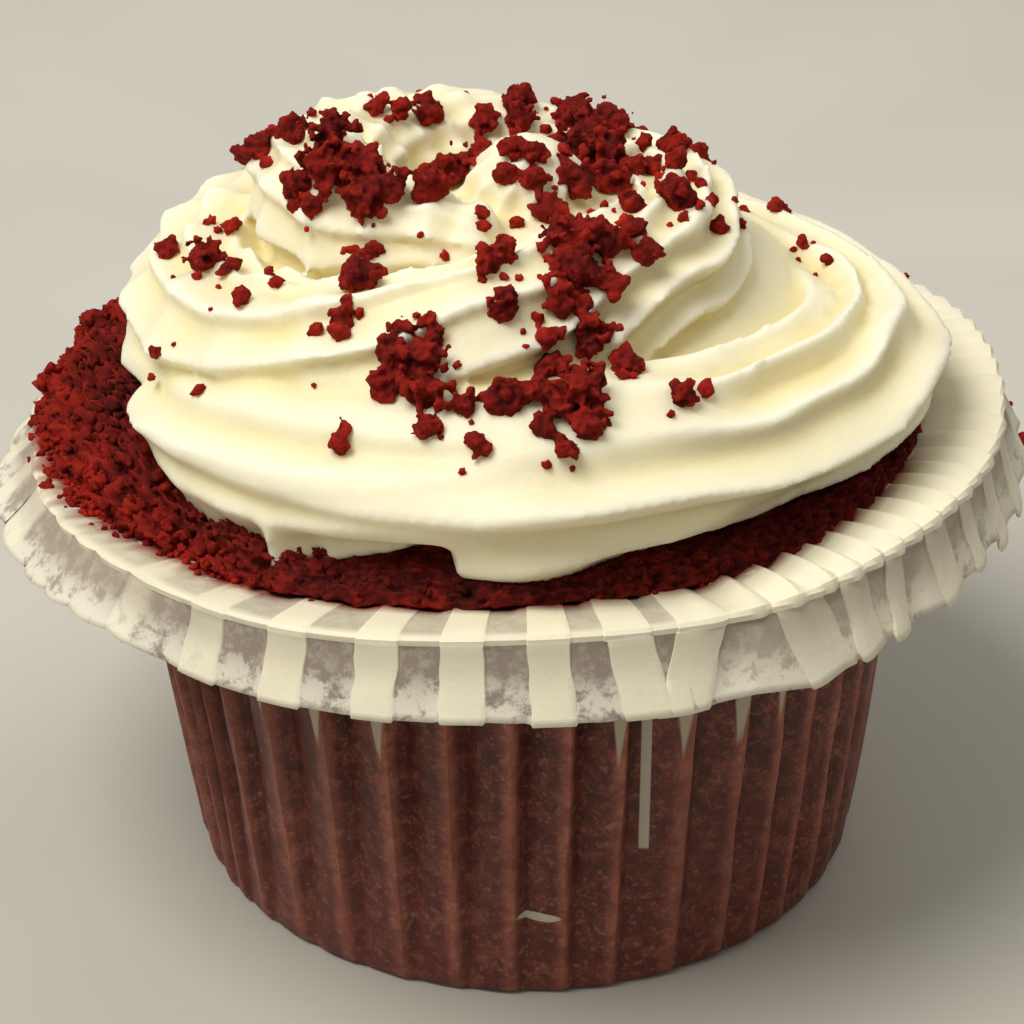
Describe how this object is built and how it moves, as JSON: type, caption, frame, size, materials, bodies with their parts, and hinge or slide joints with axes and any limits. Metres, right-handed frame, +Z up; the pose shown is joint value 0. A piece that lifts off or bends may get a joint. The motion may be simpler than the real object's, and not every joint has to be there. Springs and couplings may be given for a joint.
{
  "type": "cupcake",
  "caption": "Round frosted cupcake: red sponge in a pleated paper case, topped with a piped swirl of cream frosting and scattered cake crumbs.",
  "frame": {"origin": "middle of the flat base of the paper case", "axes": "+Z up along the axis of the case; the side that is shown most faces -Y"},
  "size_m": [0.0738, 0.0738, 0.058],
  "materials": {
    "paper": "matt greaseproof paper, cream where it is dry and dark red-brown where the sponge shows through it",
    "crumb": "rough dark red cake",
    "icing": "soft satin cream frosting"
  },
  "bodies": {
    "root": {"paper_case": "paper", "sponge": "crumb", "frosting": "icing"}
  },
  "joints": []
}
